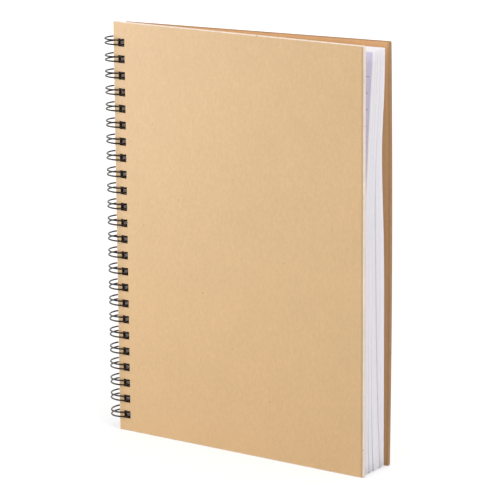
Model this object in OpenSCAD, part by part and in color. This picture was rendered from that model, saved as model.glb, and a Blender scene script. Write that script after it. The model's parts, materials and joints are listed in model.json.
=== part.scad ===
// Twin-loop wire notebook with two board covers, standing half open on their lower edges.
// Z runs up the spine, X runs from the spine to the fore-edge, and the front cover faces -Y.

/* [Covers] */
// Width of a cover board, from its binding edge to its fore-edge
cover_w = 152; // [110:1:220]
// Height of a cover board, along the spine
cover_h = 214; // [120:1:300]
// Thickness of a cover board
cover_t = 2; // [1:0.1:3]
// Radius of the two fore-edge corners of a cover board
corner_r = 0.6; // [0.2:0.1:12]
// Angle that each cover stands open from the middle of the pages
cover_open = 2.65; // [2.4:0.05:8]

/* [Pages] */
// Thickness of the stack of pages where the wire holds it
stack_t = 6; // [3:0.5:12]
// Distance by which the covers stand out past the pages at the fore-edge
overhang = 1.5; // [0.5:0.25:5]
// Distance by which the covers are higher than the pages, as half of the whole
head_overhang = 2; // [1:0.25:5]
// Distance by which the pages and the row of loops sit below the middle of the covers
row_low = 0.9; // [0:0.1:0.9]
// Play between the first page and the front cover at the wire
front_gap = 0.1; // [0.05:0.05:0.5]
// Space between the front cover and the fanned pages at the fore-edge
front_play = 2; // [1:0.25:4]
// Space between the fanned pages and the back cover at the fore-edge
back_play = 2.4; // [1:0.2:4]
// Distance by which the upper fore-edge corner is pushed back from the front cover
push_back = 7; // [0:0.5:8]
// Depth of the hollow that the last pages make at the fore-edge, in the upper half
rear_hollow = 2.6; // [0:0.2:4]
// Depth from the fore-edge of the gaps between fanned groups of leaves
leaf_gap_depth = 60; // [10:5:90]
// Width of those gaps at the lower corner
leaf_gap_w = 0.7; // [0.2:0.1:1.2]

/* [Wire] */
// Diameter of the wire
wire_d = 0.95; // [0.6:0.05:1.4]
// Distance from one loop to the next, three loops to the inch
pitch = 8.4667; // [6.35:0.0001:12.7]
// Distance between the two wires of a loop
finger_w = 2.3; // [1.8:0.1:3.2]
// Amount by which the loops are wider inside than the book is thick
ring_slack = 2.3; // [1.6:0.1:5]
// Radius of the bends where a loop turns along the spine
root_bend_r = 1.2; // [0.8:0.1:1.6]
// Distance left between the closed tip of a loop and the line of the spine wire
tip_gap = 0.5; // [0.3:0.05:1]
// Length of cut wire past the last bend at each end
stub = 0.6; // [0.3:0.1:2]

/* [Holes] */
// Distance from the binding edge to the row of holes
hole_land = 3.1; // [2:0.1:6]
// Clearance of the wire in its square holes
hole_clear = 0.4; // [0.2:0.05:1]
// Least distance from the end of the pages to the first hole
end_land = 5.5; // [3:0.5:12]
// Clearance of the spine wire between the last page and the back cover
seam_clear = 0.5; // [0.3:0.05:1]

/* [Hidden] */

$fn = 64;
kraft = [0.87, 0.73, 0.56];
paper = [0.93, 0.92, 0.96];
black = [0.1, 0.1, 0.1];

// Stack at the wire: front cover, play, pages, spine wire and back cover
seam_gap = wire_d + 2 * seam_clear;
book_t = 2 * cover_t + front_gap + stack_t + seam_gap;
cover_out = book_t / 2;
cover_in = cover_out - cover_t;
page_front = -cover_in + front_gap;
page_rear = page_front + stack_t;
seam_y = page_rear + seam_gap / 2;

// Loops, centred on the hinge axis at X = 0, Y = 0
ring_r = (book_t + ring_slack + wire_d) / 2;
ring_outer = ring_r + wire_d / 2;
ring_inner = ring_r - wire_d / 2;
page_h = cover_h - 2 * head_overhang;
hole_fit = finger_w + wire_d + 2 * hole_clear;
loops = floor((page_h - 2 * end_land - hole_fit) / pitch) + 1;
root_angle = asin(seam_y / norm([ring_r, root_bend_r])) + atan(root_bend_r / ring_r);
tip_r = finger_w / 2;
arc_deg = 180 / (PI * ring_r);
tip_angle = root_angle - (root_bend_r + tip_gap + tip_r) * arc_deg + 360;
root_run = pitch - finger_w - 2 * root_bend_r;
knuckle_over = 1.03;
knuckle_bite = 0.05;
knuckle_d = knuckle_over * wire_d;
knuckle_trim = knuckle_bite * wire_d;

// Reach of the loops across a layer whose faces lie near and far from the hinge axis
function chord(r, y) = sqrt(r * r - y * y);
cover_reach = [chord(ring_inner, cover_out), chord(ring_outer, cover_in)];
page_reach = [chord(ring_inner, page_front), ring_outer];
hole = max(hole_fit, cover_reach[1] - cover_reach[0] + 2 * hole_clear,
           page_reach[1] - page_reach[0] + 2 * hole_clear);
cover_hole_x = (cover_reach[0] + cover_reach[1]) / 2;
page_hole_x = (page_reach[0] + page_reach[1]) / 2;
cover_edge_x = cover_hole_x - hole / 2 - hole_land;
page_edge_x = page_hole_x - hole / 2 - hole_land;
cover_fore_x = cover_edge_x + cover_w;
page_fore_x = cover_fore_x - overhang;

// Fan of the pages between the two covers
page_z0 = head_overhang - row_low;
fan_x = page_hole_x + hole / 2 + hole_land;
cover_in_fore = cover_in / cos(cover_open) + page_fore_x * tan(cover_open);
fan_front = -cover_in_fore + front_play;
fan_rear = cover_in_fore - back_play;
fan_cols = 6;
fan_rows = 16;
push_from = 0.62;
push_curve = 1.15;
hollow_at = 0.76;
hollow_above = 0.12;
hollow_below = 0.18;
// Leaf gaps: place across the fan at the foot and at the top of the gap, and height of its top
leaf_gaps = [[0.18, 0.14, 0.25], [0.4, 0.35, 0.4], [0.74, 0.5, 0.62]];
leaf_gap_spare = 1;

// The part stands with its box centred on the origin
fore_reach = cover_fore_x * cos(cover_open) - cover_in * sin(cover_open);
origin_x = (fore_reach - ring_outer) / 2;

function loop_z(k) = cover_h / 2 - row_low + (k - (loops - 1) / 2) * pitch;
function share_above(t) = max(0, t - push_from) / (1 - push_from);
function hollow_span(t) = t > hollow_at ? hollow_above : hollow_below;
function fore_front(t) = fan_front + push_back * pow(share_above(t), push_curve);
function fore_rear(t) = fan_rear - rear_hollow * exp(-pow((t - hollow_at) / hollow_span(t), 2));
function lerp(a, b, u) = a + (b - a) * u;
// Leaves run straight, and those pushed back bend more towards the fore-edge
function fan_front_y(u, t) =
    lerp(page_front, fan_front, u) + (fore_front(t) - fan_front) * u * u;
function fan_rear_y(u, t) =
    lerp(page_rear, fan_rear, u) + (fore_rear(t) - fan_rear) * u * u;

module place() {
    translate([-origin_x, 0, 0]) children();
}

module hole_row(x, side) {
    for (k = [0 : loops - 1])
        translate([x, loop_z(k)]) square(side, center = true);
}

module cover_outline() {
    x = cover_w - corner_r;
    square([x, cover_h]);
    translate([0, corner_r]) square([cover_w, cover_h - 2 * corner_r]);
    for (z = [corner_r, cover_h - corner_r])
        translate([x, z]) circle(corner_r);
}

// One board, lying from y = 0 to y = cover_t with its holes over the loops
module cover_board() {
    translate([0, cover_t, 0]) rotate([90, 0, 0])
        linear_extrude(cover_t) difference() {
            translate([cover_edge_x, 0]) cover_outline();
            hole_row(cover_hole_x, hole);
        }
}

module front_cover() {
    color(kraft) place()
        rotate([0, 0, -cover_open]) translate([0, -cover_out, 0]) cover_board();
}

module back_cover() {
    color(kraft) place()
        rotate([0, 0, cover_open]) translate([0, cover_in, 0]) cover_board();
}

// Flat strip of pages round the wire
module page_strip() {
    translate([0, page_rear, 0]) rotate([90, 0, 0])
        linear_extrude(stack_t) difference() {
            translate([page_edge_x, page_z0]) square([fan_x - page_edge_x, page_h]);
            hole_row(page_hole_x, hole);
        }
}

// Fan of pages from the strip to the fore-edge, as a skin over a grid of columns and rows
module page_fan() {
    stations = [for (i = [0 : fan_cols]) i / fan_cols];
    levels = [for (j = [0 : fan_rows]) j / fan_rows];
    width = page_fore_x - fan_x;
    front = [for (u = stations, t = levels)
        [fan_x + u * width, fan_front_y(u, t), page_z0 + t * page_h]];
    rear = [for (u = stations, t = levels)
        [fan_x + u * width, fan_rear_y(u, t), page_z0 + t * page_h]];
    row = fan_rows + 1;
    back = len(front);
    function quad(a, b, c, d) = [[a, b, c], [a, c, d]];
    skins = [for (i = [0 : fan_cols - 1], j = [0 : fan_rows - 1])
        let (a = i * row + j, b = a + row)
        each concat(quad(a, a + 1, b + 1, b), quad(back + a, back + b, back + b + 1, back + a + 1))];
    ends = [for (i = [0 : fan_cols - 1])
        let (a = i * row, b = a + row, c = a + fan_rows, d = c + row)
        each concat(quad(a, b, back + b, back + a), quad(c, back + c, back + d, d))];
    edges = [for (j = [0 : fan_rows - 1])
        let (a = j, b = fan_cols * row + j)
        each concat(quad(a, back + a, back + a + 1, a + 1), quad(b, b + 1, back + b + 1, back + b))];
    polyhedron(concat(front, rear), concat(skins, ends, edges));
}

// Thin wedge of air between two groups of leaves, open at the lower fore-edge corner
module leaf_gap(foot_share, top_share, height_share) {
    low = page_z0 - leaf_gap_spare;
    out = page_fore_x + leaf_gap_spare;
    top = page_z0 + height_share * page_h;
    y_low = lerp(fore_front(0), fore_rear(0), foot_share);
    y_top = lerp(fore_front(height_share), fore_rear(height_share), top_share);
    inner = out - leaf_gap_depth;
    y_inner = lerp(y_low, lerp(page_front, page_rear, foot_share), leaf_gap_depth / (out - fan_x));
    polyhedron(
        [[inner, y_inner, low], [out, y_low - leaf_gap_w / 2, low],
         [out, y_low + leaf_gap_w / 2, low], [out, y_top, top]],
        [[0, 1, 2], [0, 3, 1], [1, 3, 2], [0, 2, 3]]);
}

module page_block() {
    color(paper) place() {
        page_strip();
        difference() {
            page_fan();
            for (g = leaf_gaps) leaf_gap(g[0], g[1], g[2]);
        }
    }
}

// Ball of metal that carries the wire from one bend into the next
module knuckle() {
    sphere(d = knuckle_d);
}

// Round wire bent about the Z axis, with its ends trimmed back into the knuckles
module bend(radius, from, sweep) {
    trim = knuckle_trim / radius * 180 / PI;
    rotate([0, 0, from + trim]) rotate_extrude(angle = sweep - 2 * trim)
        translate([radius, 0]) circle(d = wire_d);
}

// Lays a bend in the plane that touches the loops: its X goes up and its Y along the loop
module on_ring() {
    rotate([0, -90, 0]) children();
}

// Two legs round the hinge axis and the closed tip that joins them
module loop() {
    for (side = [-1, 1]) translate([0, 0, side * tip_r]) {
        bend(ring_r, root_angle, tip_angle - root_angle);
        for (a = [root_angle, tip_angle]) rotate([0, 0, a]) translate([ring_r, 0, 0]) knuckle();
    }
    rotate([0, 0, tip_angle]) translate([ring_r, 0, 0]) on_ring() bend(tip_r, 0, 180);
}

// Bend from the upper leg of a loop into the spine wire
module root_bend() {
    rotate([0, 0, root_angle]) translate([ring_r, 0, tip_r + root_bend_r]) {
        on_ring() bend(root_bend_r, 180, 90);
        translate([0, -root_bend_r, 0]) knuckle();
    }
}

// Straight wire above a loop, along the spine
module spine_run(length) {
    rotate([0, 0, root_angle])
        translate([ring_r, -root_bend_r, tip_r + root_bend_r + knuckle_trim])
            cylinder(h = length, d = wire_d);
}

module twin_loop_wire() {
    color(black) place()
        for (k = [0 : loops - 1]) translate([0, 0, loop_z(k)]) {
            loop();
            root_bend();
            mirror([0, 0, 1]) root_bend();
            spine_run(k < loops - 1 ? root_run - 2 * knuckle_trim : stub);
            if (k == 0) mirror([0, 0, 1]) spine_run(stub);
        }
}

front_cover();
back_cover();
page_block();
twin_loop_wire();
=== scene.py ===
"""Twin-loop wire notebook with kraft board covers, standing slightly open.

X runs from the wire to the fore-edge, Z up the spine, and the front cover faces -Y.
Sizes are in metres and follow the ones that the solids were drawn to.
"""

import json
import math
import random

import bmesh
import bpy
from mathutils import Matrix, Vector


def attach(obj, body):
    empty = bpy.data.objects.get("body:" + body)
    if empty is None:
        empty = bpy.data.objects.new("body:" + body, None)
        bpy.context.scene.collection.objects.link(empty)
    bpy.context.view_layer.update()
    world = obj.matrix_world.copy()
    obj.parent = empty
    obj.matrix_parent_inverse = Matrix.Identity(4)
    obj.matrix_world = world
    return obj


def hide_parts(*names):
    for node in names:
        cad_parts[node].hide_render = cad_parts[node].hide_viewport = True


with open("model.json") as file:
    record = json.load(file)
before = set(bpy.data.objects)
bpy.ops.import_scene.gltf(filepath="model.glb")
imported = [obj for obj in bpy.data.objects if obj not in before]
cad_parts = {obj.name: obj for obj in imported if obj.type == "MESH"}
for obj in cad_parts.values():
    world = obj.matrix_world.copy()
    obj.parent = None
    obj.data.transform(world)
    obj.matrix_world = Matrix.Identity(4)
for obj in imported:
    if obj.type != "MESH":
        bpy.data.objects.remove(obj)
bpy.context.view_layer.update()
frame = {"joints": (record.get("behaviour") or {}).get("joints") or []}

MM = 0.001

# Covers
COVER_W = 152 * MM
COVER_H = 214 * MM
COVER_T = 2 * MM
CORNER_R = 0.6 * MM
CORNER_STEPS = 8
COVER_OPEN = math.radians(2.65)
BOARD_EDGE_R = 0.35 * MM
BOARD_EDGE_STEPS = 3
# The back board has warped outwards at its fore-edge, and its head is a little lower than the
# front board's, most so at the wire
BACK_WARP = 1.6 * MM
BACK_LOW = 0.9 * MM
BACK_SLANT = 0.6 * MM
# Places of a board's materials in its list
OUTSIDE, INSIDE, CUT_EDGE, PUNCHED_HOLE = range(4)

# Pages
LEAVES = 60
STACK_T = 6 * MM
OVERHANG = 1.5 * MM
HEAD_OVERHANG = 2 * MM
ROW_LOW = 0.9 * MM
# Room between the leaves and the boards, at the wire and at the fore-edge
FRONT_GAP = 0.1 * MM
FRONT_PLAY = 2 * MM
BACK_PLAY = 2.4 * MM
# The first leaves are pushed back towards their head: how far, from which share of their height,
# and along what curve
PUSH_BACK = 7 * MM
PUSH_FROM = 0.62
PUSH_CURVE = 1.15
# The last leaves are hollow: how far, at which share of their height, and its reach up and down
REAR_HOLLOW = 2.6 * MM
HOLLOW_AT = 0.76
HOLLOW_ABOVE = 0.12
HOLLOW_BELOW = 0.18
LEAF_GAP_DEPTH = 60 * MM
# Gaps between groups of leaves: share of leaves before it, its place at foot and top, its height,
# and its width at foot and top
LEAF_GAPS = (
    (10 / LEAVES, 0.2, 0.14, 0.14, 0.65 * MM, 0.15 * MM),
    (22 / LEAVES, 0.42, 0.34, 0.18, 0.7 * MM, 0.15 * MM),
    (37 / LEAVES, 0.76, 0.52, 0.62, 0.8 * MM, 0.65 * MM),
)
GAP_CURVE = 2.2
# Above its top a gap closes at this rate, so within a fifth of the leaves' height
GAP_CLOSING = 5
# How far the leaves of one group slip, from its front leaf to its rear one
GROUP_SLIP = 0.8 * MM
# How far the leaves' free corners sit below where the wire holds them, at the foot and the head
SAG_FOOT = 0.2 * MM
SAG_HEAD = 1.2 * MM
# How much single leaves differ in their cut and in their height, either way
LEAF_TRIM = 0.15 * MM
LEAF_DROP = 0.12 * MM
# Share of its room in the stack that a leaf fills, at the wire and at the fore-edge
FILL_AT_WIRE = 0.92
FILL_AT_FORE = 0.8
# A leaf's ripple at the fore-edge: its size as a share of that room, and its turn from foot to
# head in radians
RIPPLE = 0.08
RIPPLE_TURN = 9
LEAF_SEED = 7

# Wire: the solid's, from which the places are worked out, and the thinner one drawn here
WIRE_D = 0.95 * MM
COATED_WIRE_D = 0.82 * MM
PITCH = 8.4667 * MM
LOOPS = 24
FINGER_W = 2.3 * MM
RING_SLACK = 2.3 * MM
ROOT_BEND_R = 1.2 * MM
TIP_GAP = 0.5 * MM
STUB = 0.6 * MM
HOLE_LAND = 3.1 * MM
HOLE_CLEAR = 0.4 * MM
SEAM_CLEAR = 0.5 * MM
WIRE_SIDES = 12
BEND_STEPS = 5
LEG_STEPS = 44
TIP_STEPS = 10
# How far the back of a loop sits high or low at most, and how far the lowest loop's does
LOOP_LEAN = 0.14 * MM
LOWEST_LEAN = -0.45 * MM
LOOP_SEED = 24

# Places worked out from those sizes, with the hinge axis at X = 0, Y = 0
TIP_R = FINGER_W / 2
SEAM_GAP = WIRE_D + 2 * SEAM_CLEAR
BOOK_T = 2 * COVER_T + FRONT_GAP + STACK_T + SEAM_GAP
COVER_OUT = BOOK_T / 2
COVER_IN = COVER_OUT - COVER_T
PAGE_FRONT = -COVER_IN + FRONT_GAP
PAGE_REAR = PAGE_FRONT + STACK_T
SEAM_Y = PAGE_REAR + SEAM_GAP / 2
RING_R = (BOOK_T + RING_SLACK + WIRE_D) / 2
RING_OUTER = RING_R + WIRE_D / 2
RING_INNER = RING_R - WIRE_D / 2
HOLE = FINGER_W + WIRE_D + 2 * HOLE_CLEAR
ROOT_RUN = PITCH - FINGER_W - 2 * ROOT_BEND_R
ROOT_ANGLE = math.asin(SEAM_Y / math.hypot(RING_R, ROOT_BEND_R)) + math.atan(ROOT_BEND_R / RING_R)
LEG_SWEEP = math.tau - (ROOT_BEND_R + TIP_GAP + TIP_R) / RING_R
COVER_HOLE_NEAR = math.sqrt(RING_INNER**2 - COVER_OUT**2)
COVER_HOLE_FAR = math.sqrt(RING_OUTER**2 - COVER_IN**2)
COVER_HOLE_X = (COVER_HOLE_NEAR + COVER_HOLE_FAR) / 2
PAGE_HOLE_X = (math.sqrt(RING_INNER**2 - PAGE_FRONT**2) + RING_OUTER) / 2
COVER_EDGE_X = COVER_HOLE_X - HOLE / 2 - HOLE_LAND
PAGE_EDGE_X = PAGE_HOLE_X - HOLE / 2 - HOLE_LAND
FORE_X = COVER_EDGE_X + COVER_W
PAGE_FORE_X = FORE_X - OVERHANG
FAN_X = PAGE_HOLE_X + HOLE / 2 + HOLE_LAND
PAGE_H = COVER_H - 2 * HEAD_OVERHANG
PAGE_Z0 = HEAD_OVERHANG - ROW_LOW
INNER_AT_FORE = COVER_IN / math.cos(COVER_OPEN) + PAGE_FORE_X * math.tan(COVER_OPEN)
FAN_FRONT = -INNER_AT_FORE + FRONT_PLAY
FAN_REAR = INNER_AT_FORE - BACK_PLAY
LOOP_Z = [COVER_H / 2 - ROW_LOW + (k - (LOOPS - 1) / 2) * PITCH for k in range(LOOPS)]

# The solids' frame has its origin at the middle of the foot; the hinge axis stands here in it
HINGE = Vector(frame["joints"][0]["pos_m"]) * Vector((1, 1, 0))

# Meshes: steps across a board or leaf beyond its holes, and how squarely a face looks along Y
# when it belongs to the broad side of a board or leaf, not to its edge
SHEET_STEPS = 6
BOARD_FACING = 0.99
LEAF_FACING = 0.7


def linear(red, green, blue):
    """A colour written in 0 to 255 as a screen shows it, as the shader's own numbers."""
    def channel(value):
        value /= 255
        return value / 12.92 if value <= 0.04045 else ((value + 0.055) / 1.055) ** 2.4
    return (channel(red), channel(green), channel(blue), 1.0)


# Colours
WHITE = (1, 1, 1, 1)
KRAFT = linear(221, 182, 130)
# The inside is a darker, deeper brown than the outside, as painted shade between the covers
KRAFT_INSIDE_SHADED = linear(214, 167, 114)
KRAFT_FLECK = linear(140, 98, 58)
FRONT_CORE = linear(245, 228, 212)
# The back board's cut edge is darker than the front's, as painted shade
BACK_CORE_SHADED = linear(180, 140, 104)
# Dark brown on the walls of the punched holes, as painted shade inside them
HOLE_WALL_SHADE = linear(64, 46, 34)
CORE_FLECK = linear(150, 112, 76)
PAPER = linear(252, 249, 250)
LEAF_EDGE = linear(249, 246, 255)
PAPER_FLECK = linear(205, 200, 215)
LEAF_SHADE = (0.66, 0.67, 0.9, 1)
RULE_INK = linear(142, 132, 172)
COATING = linear(24, 14, 8)
COATING_WEAR = linear(60, 58, 58)
WIRE_GLOSS = (1.0, 0.72, 0.48, 1)
FLOOR_GREY = (0.6, 0.6, 0.6, 1)
# How much of its own colour a fleck shows
FLECK_STRENGTH = 0.55

# Painted shade in a line just inside a board's fore-edge: its tone, how far from the edge it is
# full, and how far from it it has gone
EDGE_SHADE_TONE = 0.74
EDGE_SHADE_FULL = 1.0 * MM
EDGE_SHADE_GONE = 1.7 * MM
# Painted light: how much paler a cover's inside is at its head, and the share of its height where that
# starts
INSIDE_HEAD_LIGHT = 0.28
HEAD_LIGHT_FROM = 0.6
# Ruling: its top line, its pitch, half a line's width, and how far short of the fore-edge it stops
RULE_TOP = 197.7 * MM
RULE_PITCH = 7.9 * MM
RULE_HALF_W = 0.14 * MM
RULE_SHORT = 1.8 * MM
# A page's shade grows across it by this power, and fades out at its rims: between these two
# distances at the fore-edge, and over the first of them at the head
SHADE_POWER = 4
RIM_START = 0.8 * MM
RIM_END = 0.4 * MM
# Tones of the leaves: at the front and the rear of the stack, and how much darker one may be by
# chance; the size of a wave through the stack, and its turn from leaf to leaf in radians; and the
# factor of painted shade on a leaf behind a gap
TONE_FRONT = 0.95
TONE_REAR = 0.99
TONE_CHANCE = 0.06
TONE_WAVE = 0.025
TONE_WAVE_TURN = 0.9
GAP_SHADE = 0.7

# The floor's glow to the camera near the book and far from it, and between which distances it grows
FLOOR_LIFT = 0.45
FLOOR_LIFT_FAR = 0.75
FLOOR_NEAR = 0.3
FLOOR_FAR = 1.5
FLOOR_SIZE = 8
WORLD_LIGHT = 0.58
# Each lamp's name, place, the point that it is aimed at, its size and its power
LAMPS = (
    ("sheen", (-0.73, -0.34, 0.13), (0, 0, 0.09), 0.45, 4.7),
    ("side", (1.35, -0.5, 0.9), (0, 0, 0.1), 0.8, 8.6),
    ("above", (0.25, -0.15, 1.6), (0, 0, 0.1), 0.8, 5.4),
    ("behind", (-0.4, 1.4, 1.1), (0, 0, 0.1), 0.8, 5),
)
CAMERA_AT = Vector((774.91, -1171.15, 421.09)) * MM
CAMERA_AZIMUTH = 33.288
CAMERA_ELEVATION = 12.767
CAMERA_ROLL = -0.399
CAMERA_LENS = 206.8
CAMERA_SENSOR_W = 36


# Helpers for working by hand


def mix(a, b, share):
    return a + (b - a) * share


def deselect_all():
    bpy.ops.object.select_all(action="DESELECT")


def take(piece):
    """Makes one object the selected and active one."""
    deselect_all()
    piece.select_set(True)
    bpy.context.view_layer.objects.active = piece


def start_edit(piece):
    take(piece)
    bpy.ops.object.mode_set(mode="EDIT")


def end_edit():
    bpy.ops.object.mode_set(mode="OBJECT")


def join(pieces):
    take(pieces[0])
    for piece in pieces:
        piece.select_set(True)
    bpy.ops.object.join()
    return bpy.context.object


def smooth(piece, degrees):
    take(piece)
    bpy.ops.object.shade_smooth_by_angle(angle=math.radians(degrees))


def give_materials(piece, *materials):
    """Puts these materials in the piece's list in place of what is there."""
    piece.data.materials.clear()
    for material in materials:
        piece.data.materials.append(material)


def declare(piece, body, node):
    """Hides the solid that a finished piece stands for, and attaches the piece to what it moves with.
    """
    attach(piece, body)
    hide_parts(node)


# Nodes


def new_group(name, inputs, outputs):
    """An empty node group with its sockets, each given as its label and kind."""
    group = bpy.data.node_groups.new(name, "ShaderNodeTree")
    for direction, sockets in (("INPUT", inputs), ("OUTPUT", outputs)):
        for label, kind in sockets:
            group.interface.new_socket(label, in_out=direction, socket_type=kind)
    return group, group.nodes.new("NodeGroupInput"), group.nodes.new("NodeGroupOutput")


def node(tree, kind, links=(), **values):
    """Adds a node; values are its settings or inputs, and links join sockets to its inputs."""
    made = tree.nodes.new(kind)
    for key, value in values.items():
        if key in made.inputs:
            made.inputs[key].default_value = value
        else:
            setattr(made, key, value)
    for source, target in links:
        tree.links.new(source, made.inputs[target])
    return made


def feed(tree, target, value):
    """Gives an input its value, which is a socket to link or the value itself."""
    if isinstance(value, bpy.types.NodeSocket):
        tree.links.new(value, target)
    else:
        target.default_value = value


def reckon(tree, operation, *values):
    """The result of a math node on sockets and numbers."""
    made = node(tree, "ShaderNodeMath", operation=operation)
    for index, value in enumerate(values):
        feed(tree, made.inputs[index], value)
    return made.outputs[0]


def multiply(tree, first, *others):
    """The product of any number of sockets and numbers."""
    result = first
    for other in others:
        result = reckon(tree, "MULTIPLY", result, other)
    return result


def noise(tree, place, stretch, scale, detail):
    """Noise on a place socket, drawn out along the axes that stretch makes small."""
    mapped = node(tree, "ShaderNodeMapping", [(place, "Vector")], Scale=stretch)
    made = node(
        tree, "ShaderNodeTexNoise", [(mapped.outputs[0], "Vector")],
        Scale=scale, Detail=detail, Roughness=0.6,
    )
    return made.outputs["Fac"]


def span(tree, source, low, high, start=0.3, stop=0.7):
    """Maps a value from start..stop, where most of a noise lies, to low..high."""
    mapped = node(tree, "ShaderNodeMapRange", [(source, "Value")])
    for key, value in (("From Min", start), ("From Max", stop), ("To Min", low), ("To Max", high)):
        mapped.inputs[key].default_value = value
    return mapped.outputs[0]


def shade(tree, color, factor):
    """A colour made lighter or darker by a factor that changes over the surface."""
    made = node(tree, "ShaderNodeVectorMath", [(color, 0), (factor, "Scale")], operation="SCALE")
    return made.outputs[0]


def blend_color(tree, amount, first, second, blend_type="MIX"):
    """Two colours blended; a Mix node's sockets for colours come after those of its other kinds."""
    made = node(tree, "ShaderNodeMix", data_type="RGBA", blend_type=blend_type)
    for index, value in ((0, amount), (6, first), (7, second)):
        feed(tree, made.inputs[index], value)
    return made.outputs[2]


def object_place(tree):
    return node(tree, "ShaderNodeTexCoord").outputs["Object"]


def board_place(tree, turn):
    """Object coordinates brought back to a board that lies straight, with the hinge axis at zero."""
    mapped = node(tree, "ShaderNodeMapping", [(object_place(tree), "Vector")], Rotation=(0, 0, turn))
    mapped.inputs["Location"].default_value = -(Matrix.Rotation(turn, 3, "Z") @ HINGE)
    return mapped.outputs[0]


def axes_of(tree, place):
    """The X, Y and Z sockets of a place."""
    return node(tree, "ShaderNodeSeparateXYZ", [(place, 0)]).outputs


def add_bump(tree, shader, height, strength, distance):
    bump = node(tree, "ShaderNodeBump", [(height, "Height")], Strength=strength, Distance=distance)
    tree.links.new(bump.outputs[0], shader.inputs["Normal"])


def new_material(name, roughness, **constants):
    """A material with its Principled shader, whose constants are set on the shader itself."""
    made = bpy.data.materials.new(name)
    made.use_nodes = True
    shader = made.node_tree.nodes["Principled BSDF"]
    shader.inputs["Roughness"].default_value = roughness
    for label, value in constants.items():
        shader.inputs[label.replace("_", " ")].default_value = value
    return made, made.node_tree, shader


# Materials


def pulp_group():
    """Fibres, mottling and flecks of pressed wood pulp, at the scale of real board or paper."""
    group, entry, out = new_group(
        "pulp",
        [
            ("Place", "NodeSocketVector"),
            ("Color", "NodeSocketColor"),
            ("Fleck Color", "NodeSocketColor"),
            ("Fibres", "NodeSocketFloat"),
            ("Mottling", "NodeSocketFloat"),
            ("Fleck Size", "NodeSocketFloat"),
        ],
        [("Color", "NodeSocketColor"), ("Height", "NodeSocketFloat")],
    )
    place = entry.outputs["Place"]
    fine = noise(group, place, stretch=(1, 1, 0.85), scale=1100, detail=4)
    along = noise(group, place, stretch=(1, 1, 0.5), scale=780, detail=3)
    upright = noise(group, place, stretch=(1, 1, 0.2), scale=700, detail=2)
    cloud = noise(group, place, stretch=(1, 1, 1), scale=38, detail=3)

    def around_one(source, amount):
        return reckon(group, "MULTIPLY_ADD", span(group, source, -1.0, 1.0), amount, 1.0)

    fibres = entry.outputs["Fibres"]
    tone = multiply(
        group,
        around_one(fine, fibres),
        around_one(along, fibres),
        around_one(cloud, entry.outputs["Mottling"]),
    )
    base = shade(group, entry.outputs["Color"], tone)
    cells = node(group, "ShaderNodeTexVoronoi", [(place, "Vector")], Scale=95.0)
    fleck = reckon(group, "LESS_THAN", cells.outputs["Distance"], entry.outputs["Fleck Size"])
    fleck = multiply(group, fleck, FLECK_STRENGTH)
    color = blend_color(group, fleck, base, entry.outputs["Fleck Color"])
    height = multiply(group, reckon(group, "ADD", fine, upright), 0.5)
    group.links.new(color, out.inputs["Color"])
    group.links.new(height, out.inputs["Height"])
    return group


def pulp(tree, place, group, color, fleck, fibres, mottling, fleck_size):
    """Places the pulp group in a material, with the material's own values."""
    made = node(tree, "ShaderNodeGroup", node_tree=group)
    tree.links.new(place, made.inputs["Place"])
    for label, value in (
        ("Color", color), ("Fleck Color", fleck), ("Fibres", fibres),
        ("Mottling", mottling), ("Fleck Size", fleck_size),
    ):
        made.inputs[label].default_value = value
    return made.outputs


def painted_edge_shade(tree, place):
    """Painted shade: a darker line just inside the fore-edge."""
    inward = reckon(tree, "SUBTRACT", FORE_X, axes_of(tree, place)["X"])
    return span(tree, inward, EDGE_SHADE_TONE, 1.0, EDGE_SHADE_FULL, EDGE_SHADE_GONE)


def painted_head_light(tree, place, head_light):
    """Painted light: how much paler a liner is towards its head, as if more light reached in there."""
    up = axes_of(tree, place)["Z"]
    return span(tree, up, 1.0, 1.0 + head_light, HEAD_LIGHT_FROM * COVER_H, COVER_H)


def kraft_material(name, group, color, turn, head_light):
    """Uncoated kraft liner with a slight sheen: short fibres, faint clouds and a few dark flecks."""
    made, tree, shader = new_material(name, 0.45, Specular_IOR_Level=0.9)
    place = board_place(tree, turn)
    grain = pulp(
        tree, place, group, color, KRAFT_FLECK, fibres=0.034, mottling=0.02, fleck_size=0.035,
    )
    # Painted shade in a line along the fore-edge
    toned = shade(tree, grain["Color"], painted_edge_shade(tree, place))
    # Painted light towards the head, on the inside only
    toned = shade(tree, toned, painted_head_light(tree, place, head_light))
    tree.links.new(toned, shader.inputs["Base Color"])
    add_bump(tree, shader, grain["Height"], strength=0.35, distance=0.06 * MM)
    return made


def cut_edge_material(name, group, color, turn):
    """Cut edge of a board: paler pulp in thin layers that run parallel to its faces."""
    made, tree, shader = new_material(name, 0.9, Specular_IOR_Level=0.2)
    place = board_place(tree, turn)
    grain = pulp(tree, place, group, color, CORE_FLECK, fibres=0.05, mottling=0.05, fleck_size=0.05)
    layers = noise(tree, place, stretch=(0.05, 1, 0.05), scale=2600, detail=2)
    layered = shade(tree, grain["Color"], span(tree, layers, 0.9, 1.04))
    tree.links.new(layered, shader.inputs["Base Color"])
    add_bump(tree, shader, layers, strength=0.5, distance=0.08 * MM)
    return made


def leaf_toned_and_shaded(tree, color):
    """A leaf's colour times its tone and painted gap shade, which its mesh keeps."""
    tone = node(tree, "ShaderNodeAttribute", attribute_name="leaf_tone_and_shade")
    return shade(tree, color, tone.outputs["Fac"])


def page_shade(tree, axes):
    """The tint of a page in the book's shade, which grows across it and fades out at its rims."""
    fore = HINGE.x + PAGE_FORE_X
    head = PAGE_Z0 + PAGE_H - SAG_HEAD
    across = span(tree, axes["X"], 0.0, 1.0, HINGE.x + PAGE_EDGE_X, fore)
    amount = multiply(
        tree,
        reckon(tree, "POWER", across, SHADE_POWER),
        span(tree, axes["X"], 1.0, 0.0, fore - RIM_START, fore - RIM_END),
        span(tree, axes["Z"], 1.0, 0.0, head - RIM_START, head),
    )
    return blend_color(tree, amount, WHITE, LEAF_SHADE)


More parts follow.
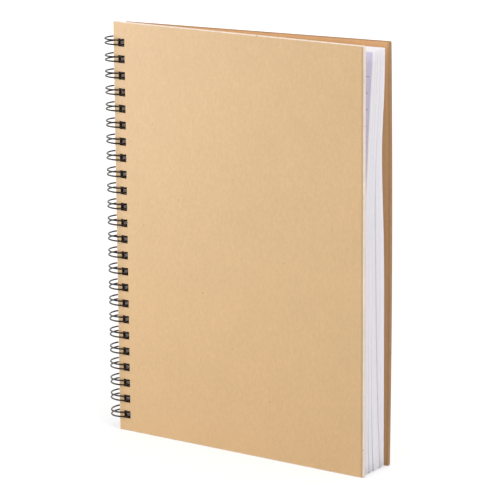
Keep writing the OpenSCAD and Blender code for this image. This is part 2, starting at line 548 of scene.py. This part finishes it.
def ruling(tree, axes):
    """Where the ruled lines are: below the head margin, and not out to the fore-edge."""
    down = reckon(tree, "SUBTRACT", RULE_TOP + RULE_PITCH / 2, axes["Z"])
    off_line = reckon(tree, "PINGPONG", down, RULE_PITCH / 2)
    return multiply(
        tree,
        reckon(tree, "GREATER_THAN", off_line, RULE_PITCH / 2 - RULE_HALF_W),
        reckon(tree, "LESS_THAN", axes["Z"], RULE_TOP + RULE_PITCH / 4),
        reckon(tree, "LESS_THAN", axes["X"], HINGE.x + PAGE_FORE_X - RULE_SHORT),
    )


def leaf_face_material(group):
    """White page, ruled with thin lavender lines below an empty head margin."""
    made, tree, shader = new_material("ruled_page", 0.75, Specular_IOR_Level=0.25)
    place = object_place(tree)
    paper = pulp(
        tree, place, group, PAPER, PAPER_FLECK, fibres=0.012, mottling=0.012, fleck_size=0.0,
    )
    axes = axes_of(tree, place)
    sheet = blend_color(tree, 1.0, paper["Color"], page_shade(tree, axes), blend_type="MULTIPLY")
    ruled = blend_color(tree, ruling(tree, axes), sheet, RULE_INK)
    tree.links.new(leaf_toned_and_shaded(tree, ruled), shader.inputs["Base Color"])
    add_bump(tree, shader, paper["Height"], strength=0.15, distance=0.03 * MM)
    return made


def leaf_edge_material(group):
    """Trimmed edges of the leaves, streaked along the cut."""
    made, tree, shader = new_material("leaf_edge", 0.85, Specular_IOR_Level=0.2)
    place = object_place(tree)
    paper = pulp(
        tree, place, group, LEAF_EDGE, PAPER_FLECK, fibres=0.02, mottling=0.015, fleck_size=0.0,
    )
    streaks = noise(tree, place, stretch=(0.02, 1, 0.02), scale=1800, detail=2)
    streaked = shade(tree, paper["Color"], span(tree, streaks, 0.93, 1.02))
    tree.links.new(leaf_toned_and_shaded(tree, streaked), shader.inputs["Base Color"])
    return made


def wire_material(group):
    """Steel wire in a thin black coating, with a soft gloss and slight wear."""
    made, tree, shader = new_material(
        "black_coating", 0.3, Specular_IOR_Level=0.24, Specular_Tint=WIRE_GLOSS,
        Coat_Weight=0.5, Coat_Roughness=0.15, Coat_IOR=1.3,
    )
    place = object_place(tree)
    paint = pulp(
        tree, place, group, COATING, COATING_WEAR, fibres=0.12, mottling=0.1, fleck_size=0.04,
    )
    wear = noise(tree, place, stretch=(1, 1, 1), scale=900, detail=3)
    tree.links.new(paint["Color"], shader.inputs["Base Color"])
    tree.links.new(span(tree, wear, 0.22, 0.42), shader.inputs["Roughness"])
    add_bump(tree, shader, paint["Height"], strength=0.2, distance=0.02 * MM)
    return made


# Punched sheets


def sheet_columns(edge, hole_middle, start, fore):
    """Places across a sheet: its edge, both sides of its holes, and even steps from start to fore."""
    columns = [edge, hole_middle - HOLE / 2, hole_middle + HOLE / 2]
    return columns + [mix(start, fore, k / SHEET_STEPS) for k in range(SHEET_STEPS + 1)]


def sheet_rows(foot, head):
    """Places up a sheet: its foot, both ends of each hole, and its head."""
    rows = [foot]
    for z in LOOP_Z:
        rows += [z - HOLE / 2, z + HOLE / 2]
    return rows + [head]


def at_step(place, steps):
    """The one of these steps on which a corner of an even grid from -1 to 1 stands."""
    return steps[round((place + 1) / 2 * (len(steps) - 1))]


def punched_sheet(columns, rows):
    """A sheet in the XZ plane, one unit deep, with a hole in its second column at every loop."""
    deselect_all()
    bpy.ops.mesh.primitive_grid_add(
        x_subdivisions=len(columns) - 1, y_subdivisions=len(rows) - 1, size=2,
    )
    sheet = bpy.context.object
    start_edit(sheet)
    mesh = bmesh.from_edit_mesh(sheet.data)
    for corner in mesh.verts:
        corner.co = Vector((at_step(corner.co.x, columns), 0, at_step(corner.co.y, rows)))
    for face in mesh.faces:
        middle = face.calc_center_median()
        in_column = columns[1] < middle.x < columns[2]
        face.select = in_column and min(abs(middle.z - z) for z in LOOP_Z) < HOLE / 4
    bmesh.update_edit_mesh(sheet.data)
    bpy.ops.mesh.delete(type="FACE")
    bpy.ops.mesh.select_all(action="SELECT")
    bpy.ops.mesh.extrude_region_move(TRANSFORM_OT_translate={"value": (0, 1, 0)})
    bpy.ops.mesh.select_all(action="SELECT")
    bpy.ops.mesh.normals_make_consistent(inside=False)
    end_edit()
    return sheet


# Covers


def round_fore_corners(board):
    """Bevels the two edges that run through the board at its fore-edge corners."""
    start_edit(board)
    bpy.ops.mesh.select_all(action="DESELECT")
    mesh = bmesh.from_edit_mesh(board.data)
    for edge in mesh.edges:
        a, b = (corner.co for corner in edge.verts)
        through = abs(a.y - b.y) > COVER_T / 2
        edge.select = through and min(a.x, b.x) > FORE_X - CORNER_R
    bmesh.update_edit_mesh(board.data)
    bpy.ops.mesh.bevel(offset=CORNER_R, segments=CORNER_STEPS, affect="EDGES")
    end_edit()


def in_hole_row(place, reach):
    """Whether a place on a straight board is in its row of holes, within reach of the row's middle.

    The walls of a hole lie half a hole from that middle, so a longer reach takes them in.
    """
    return abs(place.x - COVER_HOLE_X) < reach and HOLE / 2 < place.z < LOOP_Z[-1] + HOLE


def ease_outline(board):
    """Bevels the edges of a board's outline a little; the punched holes stay sharp."""
    start_edit(board)
    bpy.ops.mesh.select_mode(type="EDGE")
    bpy.ops.mesh.select_all(action="DESELECT")
    bpy.ops.mesh.edges_select_sharp(sharpness=math.radians(40))
    mesh = bmesh.from_edit_mesh(board.data)
    for edge in mesh.edges:
        middle = (edge.verts[0].co + edge.verts[1].co) / 2
        if in_hole_row(middle, HOLE):
            edge.select = False
    mesh.select_flush_mode()
    bmesh.update_edit_mesh(board.data)
    bpy.ops.mesh.bevel(
        offset=BOARD_EDGE_R, segments=BOARD_EDGE_STEPS, affect="EDGES", clamp_overlap=False,
    )
    bpy.ops.mesh.select_mode(type="VERT")
    end_edit()


def warp(board):
    """Bows a board outwards between its head and foot, and lets its head fall towards the wire."""
    for corner in board.data.vertices:
        across = max(0.0, corner.co.x / FORE_X)
        up = 2 * corner.co.z / COVER_H - 1
        corner.co.y += BACK_WARP * across**2 * (1 - up**2)
        if corner.co.z > LOOP_Z[-1] + HOLE:
            corner.co.z -= BACK_SLANT * (1 - across)


def cover_board(name, side, group):
    """One board; side is -1 for the front cover and 1 for the back cover."""
    near, far = sorted((side * COVER_IN, side * COVER_OUT))
    head = COVER_H - BACK_LOW if side > 0 else COVER_H
    # Painted shade: the back board's cut edge is darker than the front's
    core = BACK_CORE_SHADED if side > 0 else FRONT_CORE
    opened = side * COVER_OPEN
    board = punched_sheet(
        sheet_columns(COVER_EDGE_X, COVER_HOLE_X, COVER_HOLE_X + HOLE, FORE_X), sheet_rows(0, head),
    )
    board.name = name
    board.data.transform(Matrix.Translation((0, near, 0)) @ Matrix.Diagonal((1, far - near, 1, 1)))
    round_fore_corners(board)
    ease_outline(board)
    give_materials(
        board,
        kraft_material(name + "_outside", group, KRAFT, -opened, 0.0),
        kraft_material(name + "_inside", group, KRAFT_INSIDE_SHADED, -opened, INSIDE_HEAD_LIGHT),
        cut_edge_material(name + "_cut_edge", group, core, -opened),
        # The walls of the holes are dark brown, as painted shade inside them
        cut_edge_material(name + "_punched_hole", group, HOLE_WALL_SHADE, -opened),
    )
    for face in board.data.polygons:
        outward = face.normal.y * side
        if abs(outward) > BOARD_FACING:
            face.material_index = OUTSIDE if outward > 0 else INSIDE
        else:
            face.material_index = PUNCHED_HOLE if in_hole_row(face.center, HOLE * 0.6) else CUT_EDGE
    if side > 0:
        warp(board)
    board.data.transform(Matrix.Translation(HINGE) @ Matrix.Rotation(opened, 4, "Z"))
    smooth(board, degrees=10)
    return board


# Pages


def share_of_fan(x):
    """How far across the fan a place is: 0 up to where it starts, and 1 at the fore-edge."""
    return max(0.0, (x - FAN_X) / (PAGE_FORE_X - FAN_X))


def fan_shape(u, t):
    """Front and rear of the fanned stack at a share u across it and t up it."""
    pushed = PUSH_BACK * (max(0.0, t - PUSH_FROM) / (1 - PUSH_FROM)) ** PUSH_CURVE
    hollow_span = HOLLOW_ABOVE if t > HOLLOW_AT else HOLLOW_BELOW
    hollow = REAR_HOLLOW * math.exp(-(((t - HOLLOW_AT) / hollow_span) ** 2))
    front = mix(PAGE_FRONT, FAN_FRONT, u) + pushed * u * u
    rear = mix(PAGE_REAR, FAN_REAR, u) - hollow * u * u
    return front, rear


def gap_place(gap, t):
    """Place of a leaf gap at a height: between foot and top it slants, and above it evens out."""
    leaves_before, foot, top, height = gap[:4]
    if t < height:
        return mix(top, foot, (1 - t / height) ** GAP_CURVE)
    return mix(top, leaves_before, (t - height) / (1 - height))


def leaf_depth(share, x, t):
    """Depth of a share of the stack, with the groups of leaves slanted and their gaps opened."""
    front, rear = fan_shape(share_of_fan(x), t)
    opened = max(0.0, 1 - (PAGE_FORE_X - x) / LEAF_GAP_DEPTH)
    knots = [(0.0, 0.0)] + [(gap[0], gap_place(gap, t)) for gap in LEAF_GAPS] + [(1.0, 1.0)]
    placed = share
    for (low, low_place), (high, high_place) in zip(knots, knots[1:]):
        if low <= share <= high:
            placed = mix(low_place, high_place, (share - low) / (high - low))
    depth = mix(front, rear, mix(share, placed, opened))
    for leaves_before, _, _, height, foot_w, top_w in LEAF_GAPS:
        width = mix(foot_w, top_w, min(1.0, t / height)) * opened
        width *= min(1.0, max(0.0, 1 - GAP_CLOSING * (t - height)))
        if share < leaves_before:
            depth -= width / 2 * share / leaves_before
        else:
            depth += width / 2 * (1 - share) / (1 - leaves_before)
    return depth


def group_slip(share):
    """How far a leaf has slipped up within its group, from minus half to plus half."""
    knots = [0.0] + [gap[0] for gap in LEAF_GAPS] + [1.0]
    for low, high in zip(knots, knots[1:]):
        if low <= share <= high:
            return (share - low) / (high - low) - 0.5


def leaf_tone_and_shade(leaf, number):
    """Keeps a leaf's tone in its mesh, with painted shade on the leaf behind a gap, the darkest one."""
    tone = mix(TONE_FRONT, TONE_REAR, number / LEAVES) - random.uniform(0, TONE_CHANCE)
    tone += TONE_WAVE * math.sin(number * TONE_WAVE_TURN)
    # Painted shade: the leaf just behind a gap is darkened
    if any(number == round(gap[0] * LEAVES) for gap in LEAF_GAPS):
        tone *= GAP_SHADE
    layer = leaf.data.attributes.new("leaf_tone_and_shade", "FLOAT", "POINT")
    layer.data.foreach_set("value", [tone] * len(leaf.data.vertices))


def bent_leaf(flat, number):
    """A copy of the flat leaf, bent into its place in the fan and cut a little unevenly."""
    leaf = flat.copy()
    leaf.data = flat.data.copy()
    bpy.context.collection.objects.link(leaf)
    share = (number + 0.5) / LEAVES
    trim = random.uniform(-LEAF_TRIM, LEAF_TRIM)
    drop = random.uniform(-LEAF_DROP, LEAF_DROP) + group_slip(share) * GROUP_SLIP
    wave = random.uniform(0, math.tau)
    for corner in leaf.data.vertices:
        x, side, z = corner.co
        t = (z - PAGE_Z0) / PAGE_H
        u = share_of_fan(x)
        filled = (side - 0.5) * mix(FILL_AT_WIRE, FILL_AT_FORE, u)
        ripple = RIPPLE * math.sin(RIPPLE_TURN * t + wave) * u
        y = leaf_depth(share + (filled + ripple) / LEAVES, x, t)
        corner.co = Vector((x + trim * u, y, z + (drop - mix(SAG_FOOT, SAG_HEAD, t)) * u))
    leaf_tone_and_shade(leaf, number)
    return leaf


def page_leaves(face_material, edge_material):
    """All the leaves, each bent from the same flat one into its place in the fan."""
    random.seed(LEAF_SEED)
    flat = punched_sheet(
        sheet_columns(PAGE_EDGE_X, PAGE_HOLE_X, FAN_X, PAGE_FORE_X),
        sheet_rows(PAGE_Z0, PAGE_Z0 + PAGE_H),
    )
    bent = [bent_leaf(flat, number) for number in range(LEAVES)]
    bpy.data.objects.remove(flat)
    block = join(bent)
    block.name = "ruled_leaves"
    block.data.transform(Matrix.Translation(HINGE))
    give_materials(block, face_material, edge_material)
    for face in block.data.polygons:
        broad = abs(face.normal.y) > LEAF_FACING
        face.material_index = 0 if broad else 1
        face.use_smooth = broad
    return block


# Wire


def spin(angle, center, axis, steps):
    """Sweeps the selected ring about an axis; Blender's own angle runs the other way."""
    bpy.ops.mesh.spin(steps=steps, angle=-angle, center=center, axis=axis)


def wire_unit():
    """One double loop with half of the spine run below and above it, bent as a wire former bends it.

    X is radial and Y follows the loop at the foot of its legs.
    """
    rise = TIP_R + ROOT_BEND_R
    half_run = ROOT_RUN / 2
    deselect_all()
    bpy.ops.mesh.primitive_circle_add(
        vertices=WIRE_SIDES, radius=COATED_WIRE_D / 2,
        location=(RING_R, -ROOT_BEND_R, -rise - half_run),
    )
    unit = bpy.context.object
    bpy.ops.object.transform_apply(location=True, rotation=True, scale=True)
    start_edit(unit)
    bpy.ops.mesh.select_all(action="SELECT")
    tip_out = Vector((math.cos(LEG_SWEEP), math.sin(LEG_SWEEP), 0))
    bpy.ops.mesh.extrude_region_move(TRANSFORM_OT_translate={"value": (0, 0, half_run)})
    spin(-math.pi / 2, (RING_R, 0, -rise), (1, 0, 0), BEND_STEPS)
    spin(LEG_SWEEP, (0, 0, 0), (0, 0, 1), LEG_STEPS)
    spin(math.pi, tip_out * RING_R, tip_out, TIP_STEPS)
    spin(-LEG_SWEEP, (0, 0, 0), (0, 0, 1), LEG_STEPS)
    spin(-math.pi / 2, (RING_R, 0, rise), (1, 0, 0), BEND_STEPS)
    bpy.ops.mesh.extrude_region_move(TRANSFORM_OT_translate={"value": (0, 0, half_run)})
    end_edit()
    return unit


def repeat_unit(wire):
    """Repeats the double loop up the spine, with the runs between loops joined."""
    take(wire)
    row = wire.modifiers.new("row", "ARRAY")
    row.count = LOOPS
    row.use_relative_offset = False
    row.use_constant_offset = True
    row.constant_offset_displace = (0, 0, PITCH)
    row.use_merge_vertices = True
    row.merge_threshold = 0.02 * MM
    bpy.ops.object.modifier_apply(modifier=row.name)


def trim_end(wire, loop_z, way):
    """Cuts the half run beyond an end loop back to its stub, and closes it; way is 1 up or -1 down."""
    cut = loop_z + way * (TIP_R + ROOT_BEND_R + STUB)
    start_edit(wire)
    bpy.ops.mesh.select_all(action="SELECT")
    bpy.ops.mesh.bisect(plane_co=(0, 0, cut), plane_no=(0, 0, way), clear_outer=True, use_fill=True)
    end_edit()


def lean_loops(wire):
    """Lets the back of each loop sit a little high or low, as closed wire does, the lowest one most."""
    random.seed(LOOP_SEED)
    leans = [random.uniform(-LOOP_LEAN, LOOP_LEAN) for _ in range(LOOPS)]
    leans[0] = LOWEST_LEAN
    for corner in wire.data.vertices:
        x, _, z = corner.co
        k = min(range(LOOPS), key=lambda n: abs(LOOP_Z[n] - z))
        away = max(0.0, (RING_R - x) / (2 * RING_R))
        corner.co.z += leans[k] * away * away


def twin_loop_wire(material):
    """The whole wire from one bent unit, turned so that its seam lies before the back cover."""
    wire = wire_unit()
    repeat_unit(wire)
    wire.name = "black_wire"
    wire.data.transform(Matrix.Translation((0, 0, LOOP_Z[0])))
    trim_end(wire, LOOP_Z[0], -1)
    trim_end(wire, LOOP_Z[-1], 1)
    lean_loops(wire)
    wire.data.transform(Matrix.Translation(HINGE) @ Matrix.Rotation(ROOT_ANGLE, 4, "Z"))
    start_edit(wire)
    bpy.ops.mesh.select_all(action="SELECT")
    bpy.ops.mesh.normals_make_consistent(inside=False)
    end_edit()
    give_materials(wire, material)
    smooth(wire, degrees=50)
    return wire


# Surroundings


def floor():
    """Pale floor that the camera sees as white, apart from the shadow that lies on it."""
    deselect_all()
    bpy.ops.mesh.primitive_plane_add(size=FLOOR_SIZE)
    plane = bpy.context.object
    plane.name = "floor"
    made, tree, shader = new_material(
        "pale_floor", 0.9, Base_Color=FLOOR_GREY, Specular_IOR_Level=0.0, Emission_Color=WHITE,
    )
    away = node(tree, "ShaderNodeVectorMath", [(object_place(tree), 0)], operation="LENGTH")
    lift = span(tree, away.outputs["Value"], FLOOR_LIFT, FLOOR_LIFT_FAR, FLOOR_NEAR, FLOOR_FAR)
    seen = node(tree, "ShaderNodeLightPath").outputs["Is Camera Ray"]
    tree.links.new(multiply(tree, seen, lift), shader.inputs["Emission Strength"])
    give_materials(plane, made)


def white_world():
    """White to the camera and in reflections, and softer as a light."""
    world = bpy.data.worlds.new("studio")
    bpy.context.scene.world = world
    world.use_nodes = True
    tree = world.node_tree
    tree.nodes.clear()
    rays = node(tree, "ShaderNodeLightPath").outputs
    shown = reckon(tree, "MAXIMUM", rays["Is Camera Ray"], rays["Is Transmission Ray"])
    shown = reckon(tree, "MAXIMUM", shown, rays["Is Glossy Ray"])
    strength = span(tree, shown, WORLD_LIGHT, 1.0, 0.0, 1.0)
    background = node(tree, "ShaderNodeBackground", [(strength, "Strength")], Color=WHITE)
    node(tree, "ShaderNodeOutputWorld", [(background.outputs[0], "Surface")])


def area_light(name, place, aim, size, power):
    deselect_all()
    bpy.ops.object.light_add(type="AREA", location=place)
    light = bpy.context.object
    light.name = name
    light.data.size = size
    light.data.energy = power
    light.rotation_euler = (Vector(aim) - Vector(place)).to_track_quat("-Z", "Y").to_euler()


def camera():
    """Long lens at the photograph's height and angle."""
    azimuth = math.radians(CAMERA_AZIMUTH)
    elevation = math.radians(CAMERA_ELEVATION)
    back = Vector((
        math.sin(azimuth) * math.cos(elevation),
        -math.cos(azimuth) * math.cos(elevation),
        math.sin(elevation),
    ))
    right = Vector((math.cos(azimuth), math.sin(azimuth), 0))
    level = Matrix((right, back.cross(right), back)).transposed()
    axes = level @ Matrix.Rotation(math.radians(CAMERA_ROLL), 3, "Z")
    deselect_all()
    bpy.ops.object.camera_add()
    made = bpy.context.object
    made.matrix_world = Matrix.Translation(CAMERA_AT) @ axes.to_4x4()
    made.data.sensor_width = CAMERA_SENSOR_W
    made.data.lens = CAMERA_LENS
    bpy.context.scene.camera = made


camera()
white_world()
floor()
for lamp in LAMPS:
    area_light(*lamp)

pulp_look = pulp_group()
front = cover_board("kraft_front_board", -1, pulp_look)
declare(front, "front_board", "front_cover")
back = cover_board("kraft_back_board", 1, pulp_look)
declare(back, "back_board", "back_cover")
leaves = page_leaves(leaf_face_material(pulp_look), leaf_edge_material(pulp_look))
declare(leaves, "binding", "page_block")
wire = twin_loop_wire(wire_material(pulp_look))
declare(wire, "binding", "twin_loop_wire")

bpy.context.scene.view_settings.view_transform = "Standard"
